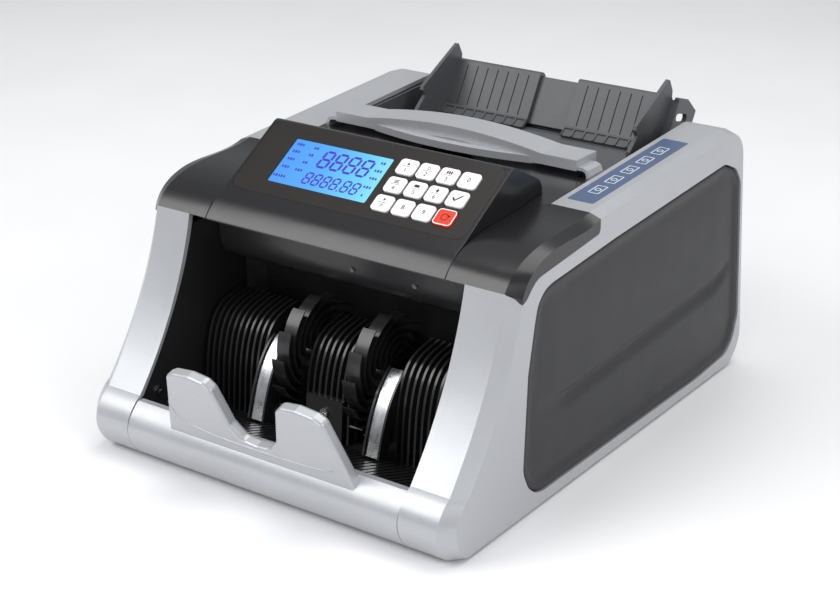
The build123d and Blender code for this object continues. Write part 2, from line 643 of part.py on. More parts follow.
def note_sensors():
    """Magnetic head and two optical heads set in the note path."""
    head = block((-11, 11), (153, 163), (82, 95.5))
    eye = rod((158.0, 105.5), 3.0, 50.0, 58.0)
    upper = block((48.0, 60.0), (152.0, 164.0), (104.0, 112.0)) + eye
    return group(head, upper, mirror(upper, Plane.YZ))


def uv_lamp():
    """Ultraviolet lamp tube over the note path, with its two end caps."""
    lamp = rod((136.0, 106.0), 4.0, -60.0, 60.0)
    for side in (-1, 1):
        lamp += rod((136.0, 106.0), 4.8, *sorted((side * 60.0, side * 68.0)))
    return lamp


# ---------------------------------------------------------------- stacker
def stacker_tray():
    """Black lining of the front pocket: sloping grooved floor and two side walls."""
    floor = poly([(12.6, 31.0), (12.6, 28.4), (61.0, 11.6), (61.0, 14.2)])
    tray = slab(floor, -BAY + SEAM, BAY - SEAM)
    groove = poly([(20.0, 28.9), (60.0, 15.1), (60.0, 13.8), (20.0, 27.6)])
    for i in range(-20, 21):
        tray -= slab(groove, 4.6 * i - 0.8, 4.6 * i + 0.8)
    wall = yz(
        Line((12.6, 28.4), (110.0, 8.0)),
        Line((110.0, 8.0), (110.0, 128.0)),
        Line((110.0, 128.0), (64.0, 128.0)),
        Spline((64.0, 128.0), (49.6, 91.7), (24.2, 48.7), (12.6, 34.0)),
        Line((12.6, 34.0), (12.6, 28.4)),
    )
    tray += both(wall, BAY + 0.6, BAY + 2.6)
    tray += both(poly([(12.6, 28.4), (12.6, 31.0), (61.0, 14.2), (61.0, 11.6)]),
                 BAY - 0.5, BAY + 2.6)
    return tray - rod(STACKER_AXIS, 9.0, -120, 120)


def set_back(points, depth):
    """Move a front outline back along its own normals."""
    moved = []
    for i, (y, z) in enumerate(points):
        before, after = points[max(i - 1, 0)], points[min(i + 1, len(points) - 1)]
        dy, dz = after[0] - before[0], after[1] - before[1]
        length = hypot(dy, dz)
        moved.append((y + depth * dz / length, z - depth * dy / length))
    return moved


def band(points, near, far):
    """A curved strip that follows points, from depth near to depth far behind them."""
    front, rear = set_back(points, near), set_back(points, far)
    return yz(Spline(*front), Line(front[-1], rear[-1]), Spline(*reversed(rear)),
              Line(rear[0], front[0]))


def rib_wall():
    """Curved ribbed wall behind the note pocket, open where the wheels turn."""
    bay = BAY - 1.3
    centre, side = 18.0, 49.5
    back = band(RIB_FRONT, RIB_DEEP, RIB_DEEP + 2.0)
    rib = band(RIB_FRONT, 0.0, RIB_DEEP + 0.5)
    wall = slab(back, -centre, centre) + both(back, side - 1.0, bay)
    beam = poly([(62.5, 8.0), (70.5, 8.0), (70.5, 14.0), (62.5, 14.0)])
    wall += slab(beam, -bay, bay)
    x = side
    while x < bay:
        wall += both(rib, x - RIB_THICK / 2, x + RIB_THICK / 2)
        x += RIB_PITCH
    for i in range(4):
        x = 2.15 + i * RIB_PITCH
        wall += both(rib, x - RIB_THICK / 2, x + RIB_THICK / 2)
    fin = band(STRIP_LINE, -1.4, 7.0)
    for x in (STRIP_X[0] - 1.7, STRIP_X[1] + 0.4):
        wall += both(fin, x, x + 1.3)
    web = poly([(62.5, 10.0), (70.5, 10.0), (70.5, 52.0), (66.0, 52.0)])
    wall += both(web, STRIP_X[0] - 1.7, STRIP_X[1] + 1.7)
    panel = poly([(60.0, 14.8), (62.0, 41.0), (66.5, 41.0), (66.5, 14.8)])
    wall += slab(panel, -12.5, 12.5)
    return wall


def guide_strips():
    """Two polished steel strips that the notes slide down beside the wheels."""
    strip = slab(band(STRIP_LINE, 0.0, 1.0), *STRIP_X)
    return group(strip, mirror(strip, Plane.YZ))


def stacker_wheel():
    """Right stacker wheel: hub with curved blades that trail behind the turn."""
    hub, tip = 12.0, STACKER_RADIUS
    stations = [(hub - 1.5, 6.0, 1.8), (20.0, -20.0, 1.5), (26.0, -48.0, 1.3),
                (32.0, -76.0, 1.1), (tip - 0.4, -101.0, 0.8)]

    def point(radius, angle):
        a = radians(angle)
        return (radius * cos(a), radius * sin(a))

    lead = [point(r - w / 2, a) for r, a, w in stations]
    trail = [point(r + w / 2, a) for r, a, w in stations]
    blade = make_face([Spline(*lead), Line(lead[-1], trail[-1]), Spline(*reversed(trail)),
                       Line(trail[0], lead[0])])
    x_low, x_high = WHEEL_X - WHEEL_WIDE / 2, WHEEL_X + WHEEL_WIDE / 2
    wheel = rod(STACKER_AXIS, hub, x_low, x_high)
    for i in range(STACKER_BLADES):
        turned = Rot(0, 0, 360 / STACKER_BLADES * (i + 0.37)) * blade
        wheel += slab(Plane.YZ * Pos(*STACKER_AXIS) * turned, x_low, x_high)
    return wheel - rod(STACKER_AXIS, SHAFT_RADIUS, x_low - 1, x_high + 1)


def exit_guide():
    """Black wall over the stacker pocket whose lower edge the notes leave under."""
    line = yz(
        Line((82.0, 131.5), (84.6, 131.5)),
        Spline((84.6, 131.5), (88.2, 117.0), (92.0, 104.6), (98.0, 101.4), (118.0, 101.6)),
        Line((118.0, 101.6), (118.0, 99.2)),
        Spline((118.0, 99.2), (97.0, 98.8), (89.8, 103.0), (85.6, 116.4), (82.0, 131.5)),
    )
    guide = slab(line, -BAY + 0.3, BAY - 0.3)
    shelf = poly([(66.5, 131.0), (84.0, 131.0), (84.0, 133.2), (66.5, 133.2)])
    guide += slab(shelf, -BAY + 0.3, BAY - 0.3)
    return guide


# ---------------------------------------------------------------- drive and electrics
def main_motor():
    """Drive motor on its mounting plate."""
    body = rod(MOTOR_AXIS, 20.0, -98.0, -46.0)
    body += rod(MOTOR_AXIS, 14.0, -46.0, -40.0)
    foot = block((-96.0, -50.0), (MOTOR_AXIS[0] - 17, MOTOR_AXIS[0] + 17), (2.6, 16.0))
    body += foot
    flange = rod(MOTOR_AXIS, 22.0, -103.4, -98.0)
    bore = rod(MOTOR_AXIS, 3.0 + BUSH_BORE_GAP, -110.0, -60.0)
    return body + flange - bore


def motor_pulley():
    """Small pulley with the motor shaft."""
    disc = mirror(toothed_disc(MOTOR_AXIS, MOTOR_PULLEY, 16), Plane.YZ)
    return disc + rod(MOTOR_AXIS, 3.0, -PULLEY_X - PULLEY_WIDE - 1, -62.0)


def power_supply():
    """Transformer block with its bobbin."""
    core = block((40.0, 92.0), (132.0, 188.0), (2.6, 44.0))
    bobbin = block((34.0, 98.0), (143.0, 177.0), (9.0, 38.0))
    return core + bobbin


def main_board():
    """Main circuit board with its standoffs and largest parts."""
    board = block((-90.0, 90.0), (212.0, 300.0), (14.0, 15.6))
    for x in (-84.0, 84.0):
        for y in (217.0, 295.0):
            board += Pos(x, y, 8.3) * Cylinder(3.0, 11.4)
    parts = [((-60, -34), (232, 256), 22), ((10, 26), (226, 240), 30), ((40, 56), (226, 240), 30),
             ((-20, 0), (262, 284), 20), ((50, 80), (262, 286), 26)]
    for x, y, top in parts:
        board += block(x, y, (15.0, top))
    return board


def back_plane(z, depth=0.0):
    """Plane on the back face at height z: local x is -X, local y goes up, normal points back."""
    lean = radians(BACK_SLOPE)
    y = BACK_FOOT[0] - (z - BACK_FOOT[1]) * tan(lean)
    return Plane(origin=(0, y - depth, z), x_dir=(-1, 0, 0), z_dir=(0, cos(lean), sin(lean)))


def on_back(face, at, low, high):
    """Stretch a face on the back cover from depth low to high (out of the case)."""
    plane = back_plane(at[1])
    return extrude(plane * Pos(-at[0], 0, low) * face, high - low)


def rear_cover():
    """Black rear cover with cooling slots and cut-outs for the inlet and the switch."""
    outer = yz(
        Line((305.0, 0.0), (BASE_BACK, 0.0)),
        ThreePointArc((BASE_BACK, 0.0), (333.0, 5.5), BACK_FOOT),
        Line(BACK_FOOT, (BACK_HEAD[0] + 0.4, 139.8)),
        Line((BACK_HEAD[0] + 0.4, 139.8), (324.0, 143.6)),
        Line((324.0, 143.6), (303.0, 143.6)),
        Line((303.0, 143.6), (303.0, 141.1)),
        Line((303.0, 141.1), (322.6, 141.1)),
        Line((322.6, 141.1), (335.9, 20.0)),
        ThreePointArc((335.9, 20.0), (330.8, 8.4), (BASE_BACK - 0.6, 3.0)),
        Line((BASE_BACK - 0.6, 3.0), (305.0, 3.0)),
        Line((305.0, 3.0), (305.0, 0.0)),
    )
    cover = slab(outer, -BAY + SEAM, BAY - SEAM)
    cover -= on_back(Rectangle(*INLET_SIZE), INLET_AT, -10, 5)
    cover -= on_back(Rectangle(*SWITCH_SIZE), SWITCH_AT, -10, 5)
    for row in range(9):
        for x in (-58.0, -20.0, 18.0, 56.0):
            cover -= on_back(SlotOverall(32.0, 2.6), (x, 72.0 + row * 6.0), -10, 5)
    return cover


def power_inlet():
    """Three-pole mains inlet with its flange and blades."""
    flange = on_back(RectangleRounded(31.0, 23.0, 2.0), INLET_AT, 0.0, 1.8)
    body = on_back(Rectangle(INLET_SIZE[0] - 0.2, INLET_SIZE[1] - 0.2), INLET_AT, -20.0, 0.0)
    well = on_back(RectangleRounded(24.2, 16.4, 3.0), INLET_AT, -15.0, 3.0)
    inlet = flange + body - well
    for x, z in ((-7.0, -2.0), (7.0, -2.0), (0.0, 2.0)):
        blade = Pos(x, z) * Rectangle(2.0, 4.0)
        inlet += on_back(blade, INLET_AT, -16.0, -4.0)
    return inlet


def switch_case():
    """Housing of the power switch."""
    flange = on_back(RectangleRounded(15.6, 23.0, 1.4), SWITCH_AT, 0.0, 1.6)
    body = on_back(Rectangle(SWITCH_SIZE[0] - 0.2, SWITCH_SIZE[1] - 0.2), SWITCH_AT, -17.0, 0.0)
    well = on_back(Rectangle(10.6, 17.4), SWITCH_AT, -11.0, 3.0)
    return flange + body - well


def power_switch():
    """Rocker of the power switch, tilted to its off side at rest."""
    half, pivot = ROCKER_HALF, ROCKER_PIVOT
    shape = make_face(Polyline((-half, 2.6), (0.0, 0.8), (half, 2.6), (half, -2.2), (2.5, -6.0),
                               (-2.5, -6.0), (-half, -2.2), close=True))
    tilted = Pos(0, pivot) * Rot(0, 0, ROCKER_TILT) * Pos(0, -pivot) * shape
    plane = back_plane(SWITCH_AT[1])
    side = Plane(origin=plane.origin, x_dir=plane.y_dir, z_dir=plane.x_dir)
    return Pos(SWITCH_AT[0], 0, 0) * extrude(side * tilted, 5.0, both=True)


def feet():
    """Four rubber feet."""
    pads = [Pos(x, y, -FOOT_DROP / 2) * Cylinder(9.0, FOOT_DROP)
            for x in (-108.0, 108.0) for y in (34.0, 292.0)]
    return group(*pads)


def screw(plane, head_radius=2.6):
    """A pan-head screw whose head stands on a plane, with a cross recess."""
    head = extrude(plane * Circle(head_radius), 1.4)
    stem = extrude(plane * Circle(head_radius * 0.5), -4.0)
    arm = head_radius * 1.3
    cross = extrude(Plane(origin=plane.origin + plane.z_dir * 0.7, x_dir=plane.x_dir,
                          z_dir=plane.z_dir) * (Rectangle(arm, 0.7) + Rectangle(0.7, arm)), 2.0)
    return head + stem - cross


def screws():
    """Visible fixing screws."""
    made = []
    for side in (-1, 1):
        wall = Plane(origin=(side * (BAY + 0.6), 26.0, 33.5), x_dir=(0, 1, 0), z_dir=(-side, 0, 0))
        hood = Plane(origin=(side * 22.0 + 25.0, 86.2, 114.0), x_dir=(1, 0, 0),
                     z_dir=(0, -0.97, -0.24))
        back = back_plane(76.0)
        rear = Plane(origin=back.origin + Vector(side * 80.0, 0, 0), x_dir=(1, 0, 0),
                     z_dir=back.z_dir)
        made += [screw(wall), screw(hood, 1.5), screw(rear)]
    panel = Plane(origin=(0.0, 61.2, 32.0), x_dir=(1, 0, 0), z_dir=(0, -1, 0.08))
    return group(*made, screw(panel))


# ---------------------------------------------------------------- write every node
KEY_NAMES = (("key_1", "key_4", "key_7"), ("key_2", "key_5", "key_8"),
             ("key_3", "key_6", "key_9"), ("key_0", "key_set", "key_restart"))


def main():
    for name, make in (("side_cover", side_cover), ("side_panel", side_panel),
                       ("note_guide", note_guide), ("frame_plate", frame_plate),
                       ("stacker_wheel", stacker_wheel)):
        right = make()
        save(f"right_{name}", right)
        save(f"left_{name}", mirror(right, Plane.YZ))
    for make in (base_tray, front_lip, note_stop, top_cover, console_housing, console_overlay,
                 display_module, control_board, carry_handle, hopper_tray,
                 hopper_frame, shaft_bushes, retard_rollers, retard_bar, path_plate,
                 note_sensors, uv_lamp, stacker_tray, rib_wall, guide_strips, exit_guide,
                 main_motor, motor_pulley, power_supply, main_board, rear_cover, power_inlet,
                 switch_case, power_switch, feet, screws):
        save(make.__name__, make())
    for column, x in enumerate(KEY_COLUMNS):
        for row, s in enumerate(KEY_ROWS):
            save(KEY_NAMES[column][row], key(x, s))
    save("feed_shaft", driven_shaft(FEED_AXIS, FEED_PULLEY, 28, (-1, 1)))
    save("pick_shaft", driven_shaft(PICK_AXIS, PICK_PULLEY, 28, (1,)))
    save("stacker_shaft", driven_shaft(STACKER_AXIS, STACKER_PULLEY, 40, (-1,)))
    save("feed_rollers", tyre_pair(FEED_AXIS, FEED_RADIUS, 18.0, 44.0))
    save("pick_rollers", tyre_pair(PICK_AXIS, PICK_RADIUS, 21.0, 41.0))
    save("drive_belt", belt([(MOTOR_AXIS, MOTOR_PULLEY), (FEED_AXIS, FEED_PULLEY),
                             (STACKER_AXIS, STACKER_PULLEY)], -1))
    save("pick_belt", belt([(FEED_AXIS, FEED_PULLEY), (PICK_AXIS, PICK_PULLEY)], 1))


main()
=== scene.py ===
"""Looks of the banknote counting machine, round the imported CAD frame. Metres, +X right, +Y back, +Z up."""

import json
from math import atan2, cos, pi, radians, sin

import bpy
from mathutils import Matrix, Vector
from mathutils.geometry import delaunay_2d_cdt


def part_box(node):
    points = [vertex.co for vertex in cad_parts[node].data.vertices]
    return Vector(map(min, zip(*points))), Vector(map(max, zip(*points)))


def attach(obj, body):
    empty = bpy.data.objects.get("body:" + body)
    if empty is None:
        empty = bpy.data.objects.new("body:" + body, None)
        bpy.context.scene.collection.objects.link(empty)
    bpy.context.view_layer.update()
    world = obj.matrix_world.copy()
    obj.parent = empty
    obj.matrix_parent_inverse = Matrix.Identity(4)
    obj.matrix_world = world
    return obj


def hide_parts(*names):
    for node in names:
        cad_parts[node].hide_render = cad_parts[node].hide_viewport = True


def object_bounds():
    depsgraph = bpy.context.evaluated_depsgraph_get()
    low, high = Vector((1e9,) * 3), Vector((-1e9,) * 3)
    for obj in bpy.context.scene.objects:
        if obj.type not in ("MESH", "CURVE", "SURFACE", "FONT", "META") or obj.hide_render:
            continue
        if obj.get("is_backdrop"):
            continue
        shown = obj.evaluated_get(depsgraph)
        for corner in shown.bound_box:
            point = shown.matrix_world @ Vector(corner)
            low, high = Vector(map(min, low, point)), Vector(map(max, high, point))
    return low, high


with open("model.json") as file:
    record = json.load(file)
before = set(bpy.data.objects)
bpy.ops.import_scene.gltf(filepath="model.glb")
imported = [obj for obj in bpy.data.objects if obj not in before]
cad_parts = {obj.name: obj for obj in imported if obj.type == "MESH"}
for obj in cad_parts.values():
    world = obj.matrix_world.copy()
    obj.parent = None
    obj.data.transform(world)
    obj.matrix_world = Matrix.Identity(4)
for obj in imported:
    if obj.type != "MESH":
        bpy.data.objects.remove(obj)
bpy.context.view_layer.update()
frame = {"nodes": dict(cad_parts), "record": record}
nodes = frame["nodes"]


# ---------------------------------------------------------------- sizes and drawn lines
INK = 0.00006           # thickness of printed ink
LETTER_LIFT = 0.00003   # half thickness of a printed figure
SEGMENTS = {          # ends of each bar of a seven-bar figure, in half widths and half heights
    "top": ((-1, 1), (1, 1)), "middle": ((-1, 0), (1, 0)), "bottom": ((-1, -1), (1, -1)),
    "top_left": ((-1, 0), (-1, 1)), "top_right": ((1, 0), (1, 1)),
    "bottom_left": ((-1, -1), (-1, 0)), "bottom_right": ((1, -1), (1, 0)),
}
RIM_POINTS = 300
ROLL = ((0.0, 0.0021), (0.0003, 0.0009), (0.0010, 0.0002), (0.0022, 0.0), (0.0040, 0.0002),
        (0.0062, 0.0010), (0.0084, 0.0014))      # distance in from the edge, depth of the surface
CREASE = ((0.0, 0.44), (0.12, 0.385), (0.20, 0.372), (0.35, 0.392), (0.58, 0.414), (0.77, 0.431),
          (0.90, 0.445), (0.95, 0.485), (1.0, 0.56))     # share of the length, share of the height
CREASE_ROWS = tuple(0.001 * i for i in range(-16, 6))     # heights of mesh rows about the crease
CREASE_DEPTH = 0.0024
CREASE_UPPER = 0.0035     # width of the crease's steep upper side
CREASE_LOWER = 0.012      # width of its long lower side
COLUMN_STEP = 0.004       # steps of the mesh inside the panel's rim
ROW_STEP = 0.006
RIM_MARGIN = 0.0016       # least distance of a mesh point from the rim
FIELD_RISE = 0.0010       # how far the field swells out from the rim
FIELD_EASE = 0.022        # distance over which it does
SKIN_THICK = 0.0014
SWOOSH = ((-0.060, 0.47), (-0.057, 0.30), (-0.050, 0.19), (-0.036, 0.145), (-0.018, 0.125), (0.0, 0.12),
          (0.018, 0.125), (0.036, 0.14), (0.050, 0.17), (0.056, 0.22))    # x, share of the height
LABEL_SPAN = (0.160, 0.275)       # label's ends, from the front of the side cover
LABEL_SIDES = (0.0035, 0.0205)    # label's sides, from the inner face of the side cover
LABEL_SIGNS = 5
LABEL_PITCH = 0.0185


# ---------------------------------------------------------------- node helpers
class Graph:
    """A small wrapper that adds linked shader nodes to one material."""

    def __init__(self, name):
        self.material = bpy.data.materials.new(name)
        self.material.use_nodes = True
        self.tree = self.material.node_tree
        self.shader = self.tree.nodes["Principled BSDF"]
        self.place = self.add("ShaderNodeTexCoord").outputs["Object"]

    def add(self, kind, **values):
        node = self.tree.nodes.new(kind)
        for key, value in values.items():
            setattr(node, key, value)
        return node

    def link(self, source, target):
        self.tree.links.new(source, target)

    def scaled_place(self, stretch):
        mapping = self.add("ShaderNodeMapping")
        self.link(self.place, mapping.inputs["Vector"])
        mapping.inputs["Scale"].default_value = stretch
        return mapping.outputs["Vector"]

    def noise(self, scale, detail=3.0, rough=0.5, stretch=(1, 1, 1)):
        node = self.add("ShaderNodeTexNoise")
        node.inputs["Scale"].default_value = scale
        node.inputs["Detail"].default_value = detail
        node.inputs["Roughness"].default_value = rough
        self.link(self.scaled_place(stretch), node.inputs["Vector"])
        return node.outputs["Fac"]

    def ramp(self, value, stops):
        node = self.add("ShaderNodeValToRGB")
        marks = node.color_ramp.elements
        while len(marks) < len(stops):
            marks.new(0.5)
        for mark, (at, colour) in zip(marks, stops):
            mark.position = at
            mark.color = (*colour, 1.0)
        self.link(value, node.inputs["Fac"])
        return node.outputs["Color"]

    def spread(self, value, low, high):
        """Map a 0..1 noise to the range low..high."""
        node = self.add("ShaderNodeMapRange")
        node.inputs["From Min"].default_value = 0.3
        node.inputs["From Max"].default_value = 0.7
        node.inputs["To Min"].default_value = low
        node.inputs["To Max"].default_value = high
        self.link(value, node.inputs["Value"])
        return node.outputs["Result"]

    def bump(self, height, depth, strength=1.0, under=None):
        node = self.add("ShaderNodeBump")
        node.inputs["Strength"].default_value = strength
        node.inputs["Distance"].default_value = depth
        self.link(height, node.inputs["Height"])
        if under is not None:
            self.link(under, node.inputs["Normal"])
        return node.outputs["Normal"]

    def set(self, **values):
        for key, value in values.items():
            self.shader.inputs[key.replace("_", " ")].default_value = value

    def finish(self, colour=None, rough=None, normal=None):
        for socket, source in (("Base Color", colour), ("Roughness", rough), ("Normal", normal)):
            if source is not None:
                self.link(source, self.shader.inputs[socket])
        return self.material


def shade(colour, factor):
    return tuple(min(1.0, c * factor) for c in colour)


def plastic(name, colour, rough, grain=1500.0, grain_depth=0.00003, vary=0.10, coat=0.0):
    """Moulded plastic: slight colour drift, fine grain, and roughness that changes a little."""
    g = Graph(name)
    drift = g.noise(14.0, 4.0)
    tint = g.ramp(drift, [(0.3, shade(colour, 1 - vary)), (0.7, shade(colour, 1 + vary))])
    fine = g.noise(grain, 2.0)
    g.set(Coat_Weight=coat, Coat_Roughness=0.12)
    return g.finish(tint, g.spread(g.noise(60.0, 5.0), rough * 0.96, rough * 1.05),
                    g.bump(fine, grain_depth, 0.6))


def silver_paint():
    """Silver grey lacquer: fine metal flakes under a soft sheen."""
    g = Graph("silver_paint")
    flakes = g.noise(5200.0, 2.0, 0.7)
    tint = g.ramp(flakes, [(0.25, (0.36, 0.37, 0.390)), (0.5, (0.44, 0.45, 0.470)),
                           (0.78, (0.55, 0.56, 0.585))])
    g.set(Metallic=0.35, Coat_Weight=0.2, Coat_Roughness=0.2)
    peel = g.bump(g.noise(420.0, 2.0), 0.00002, 0.25)
    return g.finish(tint, g.spread(g.noise(35.0, 4.0), 0.30, 0.38),
                    g.bump(flakes, 0.00001, 0.25, peel))


def polished_steel(name, scratches=0.5, colour=(0.62, 0.63, 0.65), rough=0.22):
    """Bare steel with long and short scratches and cloudy wear."""
    g = Graph(name)
    g.set(Metallic=1.0)
    lines = g.noise(900.0, 3.0, 0.6, (0.06, 1.0, 1.0))
    cross = g.noise(140.0, 5.0, 0.7, (1.0, 0.25, 0.25))
    cloud = g.noise(55.0, 5.0, 0.65)
    tint = g.ramp(cloud, [(0.3, shade(colour, 0.72)), (0.62, colour), (0.8, shade(colour, 1.25))])
    normal = g.bump(lines, 0.00003, scratches)
    return g.finish(tint, g.spread(cross, rough * 0.6, rough * 1.9),
                    g.bump(cross, 0.00006, scratches, normal))


def lit_display():
    """Pale blue backlight, stronger near the lamp side, seen through thin glass."""
    g = Graph("lit_display")
    low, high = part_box("display_module")
    ramp_place = g.add("ShaderNodeSeparateXYZ")
    g.link(g.place, ramp_place.inputs["Vector"])
    across = g.add("ShaderNodeMapRange")
    across.inputs["From Min"].default_value = low.x
    across.inputs["From Max"].default_value = high.x
    g.link(ramp_place.outputs["X"], across.inputs["Value"])
    glow = g.ramp(across.outputs["Result"], [(0.0, (0.055, 0.30, 0.90)), (0.45, (0.09, 0.42, 0.95)),
                                             (0.8, (0.16, 0.68, 1.0)), (1.0, (0.30, 0.88, 1.0))])
    g.link(glow, g.shader.inputs["Emission Color"])
    g.set(Emission_Strength=0.85, Coat_Weight=0.1, Coat_Roughness=0.05)
    return g.finish(g.ramp(g.noise(30.0), [(0.3, (0.02, 0.06, 0.12)), (0.7, (0.025, 0.07, 0.14))]),
                    g.spread(g.noise(200.0), 0.14, 0.2), g.bump(g.noise(700.0), 0.00001, 0.2))


def circuit_board():
    g = Graph("circuit_board")
    tracks = g.noise(700.0, 1.0, 0.4, (1.0, 0.15, 1.0))
    tint = g.ramp(tracks, [(0.45, (0.012, 0.085, 0.03)), (0.52, (0.02, 0.14, 0.05)),
                           (0.62, (0.03, 0.18, 0.07))])
    return g.finish(tint, g.spread(tracks, 0.35, 0.5), g.bump(tracks, 0.00004, 0.5))


PAINT = {
    "silver": silver_paint(),
    "black_gloss": plastic("black_gloss", (0.009, 0.009, 0.010), 0.25, 700.0, 0.00001, 0.12, 0.1),
    "charcoal": plastic("charcoal", (0.014, 0.014, 0.016), 0.46, 1300.0, 0.00005, 0.03),
    "black": plastic("black_plastic", (0.016, 0.016, 0.017), 0.30, 1500.0, 0.00003, 0.15, 0.2),
    "hopper_grey": plastic("hopper_grey", (0.072, 0.074, 0.080), 0.42, 1400.0, 0.00005, 0.10),
    "ear_grey": plastic("ear_grey", (0.030, 0.031, 0.033), 0.40, 1400.0, 0.00005, 0.10),
    "overlay": plastic("panel_sheet", (0.0075, 0.0050, 0.0035), 0.38, 2600.0, 0.00001, 0.10),
    "display": lit_display(),
    "key_white": plastic("key_white", (0.88, 0.88, 0.87), 0.30, 900.0, 0.00001, 0.02, 0.2),
    "key_red": plastic("key_red", (0.83, 0.042, 0.016), 0.30, 900.0, 0.00001, 0.05, 0.2),
    "board_green": circuit_board(),
    "rubber": plastic("rubber", (0.022, 0.022, 0.023), 0.78, 900.0, 0.0001, 0.15),
    "steel": polished_steel("polished_steel"),
    "zinc": polished_steel("zinc_plate", 0.25, (0.55, 0.55, 0.54), 0.36),
    "bronze": polished_steel("sintered_bronze", 0.3, (0.45, 0.27, 0.11), 0.45),
    "belt": plastic("belt_rubber", (0.02, 0.02, 0.021), 0.7, 700.0, 0.0001, 0.2),
    "lamp": plastic("lamp_glass", (0.20, 0.17, 0.42), 0.12, 300.0, 0.00001, 0.10, 0.5),
    "ink": plastic("dark_ink", (0.012, 0.012, 0.014), 0.45, 2000.0, 0.00001, 0.2),
    "segment": plastic("display_segment", (0.045, 0.016, 0.42), 0.35, 2000.0, 0.00001, 0.15),
    "label_blue": plastic("label_blue", (0.062, 0.102, 0.195), 0.34, 1800.0, 0.00001, 0.05, 0.2),
    "label_pale": plastic("label_pale", (0.62, 0.66, 0.72), 0.36, 1800.0, 0.00001, 0.04, 0.2),
}


def repaint():
    """Give every CAD node the procedural material of its slot."""
    for part in frame["record"]["subparts"]:
        node = nodes[part["node"]]
        slot = part["material_slot"]
        node.data.materials.clear()
        node.data.materials.append(PAINT[slot])


# ---------------------------------------------------------------- piece helpers
def piece(name, vertices, faces, body, slot, paint=None, smooth=False):
    """A new mesh piece that rides on a body."""
    mesh = bpy.data.meshes.new(name)
    mesh.from_pydata([tuple(v) for v in vertices], [], faces)
    mesh.validate()
    mesh.update()
    obj = bpy.data.objects.new(name, mesh)
    bpy.context.scene.collection.objects.link(obj)
    mesh.materials.append(PAINT[paint or slot])
    if smooth:
        for polygon in mesh.polygons:
            polygon.use_smooth = True
    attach(obj, body)
    return obj


def prism(outline, low, high):
    """Vertices and faces of a closed prism over a flat outline of (u, v), from w low to high."""
    count = len(outline)
    vertices = [(u, v, low) for u, v in outline] + [(u, v, high) for u, v in outline]
    faces = [tuple(range(count - 1, -1, -1)), tuple(range(count, 2 * count))]
    faces += [(i, (i + 1) % count, count + (i + 1) % count, count + i) for i in range(count)]
    return vertices, faces


def join(parts):
    """One vertex and face list from several."""
    vertices, faces = [], []
    for more, polygons in parts:
        start = len(vertices)
        vertices += more
        faces += [tuple(i + start for i in polygon) for polygon in polygons]
    return vertices, faces


def flat_piece(name, place, parts, body, slot, paint=None):
    """Prisms drawn on a plane, as one piece. place is the plane's matrix."""
    vertices, faces = join(parts)
    return piece(name, [place @ Vector(v) for v in vertices], faces, body, slot, paint)


def rounded_box(width, height, radius, steps=6):
    """Outline of a rectangle with round corners, about its middle."""
    points = []
    for cx, cy, turn in ((1, 1, 0), (-1, 1, 1), (-1, -1, 2), (1, -1, 3)):
        for i in range(steps + 1):
            angle = (turn + i / steps) * pi / 2
            points.append((cx * (width / 2 - radius) + radius * cos(angle),
                           cy * (height / 2 - radius) + radius * sin(angle)))
    return points


def shifted(outline, du, dv, size=1.0):
    return [(u * size + du, v * size + dv) for u, v in outline]


# ---------------------------------------------------------------- control panel
def panel_axes():
    """Directions up the slope of the control panel and out of it."""
    low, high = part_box("console_overlay")
    slope = atan2(high.z - low.z, high.y - low.y)
    return Vector((0, cos(slope), sin(slope))), Vector((0, -sin(slope), cos(slope)))


def panel_place(centre):
    """Matrix of a plane on the panel: x to the right, y up the slope, z out of it."""
    up, out = panel_axes()
    return Matrix(((1, 0, 0, centre.x), (0, up.y, out.y, centre.y), (0, up.z, out.z, centre.z),
                   (0, 0, 0, 1)))


def key_place(name):
    """Plane of a key's top face, about the key's middle."""
    _, out = panel_axes()
    top = max(v.co.dot(out) for v in nodes[name].data.vertices)
    low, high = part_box(name)
    centre = (low + high) / 2
    return panel_place(centre + out * (top - centre.dot(out)))


def digit_mesh(text, size):
    """Outline mesh of one figure in the built-in sans face, about its middle, as triangles."""
    curve = bpy.data.curves.new("figure", "FONT")
    curve.body = text
    curve.size = size
    curve.extrude = LETTER_LIFT
    curve.align_x = "CENTER"
    curve.align_y = "CENTER"
    obj = bpy.data.objects.new("figure", curve)
    bpy.context.scene.collection.objects.link(obj)
    bpy.context.view_layer.update()
    mesh = bpy.data.meshes.new_from_object(obj)
    vertices = [tuple(v.co) for v in mesh.vertices]
    faces = [tuple(p.vertices) for p in mesh.polygons]
    bpy.data.objects.remove(obj)
    bpy.data.curves.remove(curve)
    bpy.data.meshes.remove(mesh)
    us = [v[0] for v in vertices]
    vs = [v[1] for v in vertices]
    mu, mv = (min(us) + max(us)) / 2, (min(vs) + max(vs)) / 2
    return [(u - mu, v - mv, w + LETTER_LIFT) for u, v, w in vertices], faces


def moved(part, du, dv):
    vertices, faces = part
    return [(u + du, v + dv, w) for u, v, w in vertices], faces


def bar(du, dv, width, height=0.00035):
    return prism(shifted(rounded_box(width, height, height * 0.3, 2), du, dv), 0.0, INK)


def arrow(du, dv, size, up=True):
    """A small filled triangle."""
    way = 1 if up else -1
    outline = [(-size / 2, -way * size * 0.4), (size / 2, -way * size * 0.4), (0, way * size * 0.5)]
    if not up:
        outline.reverse()
    return prism(shifted(outline, du, dv), 0.0, INK)


def ring(du, dv, radius, width, start=0.0, end=2 * pi, steps=26):
    """An open or closed band round a circle."""
    parts = []
    for i in range(steps):
        a, b = (start + (end - start) * k / steps for k in (i, i + 1))
        outline = [(r * cos(t), r * sin(t)) for r, t in
                   ((radius, a), (radius + width, a), (radius + width, b), (radius, b))]
        parts.append(prism(shifted(outline, du, dv), 0.0, INK))
    return join(parts)


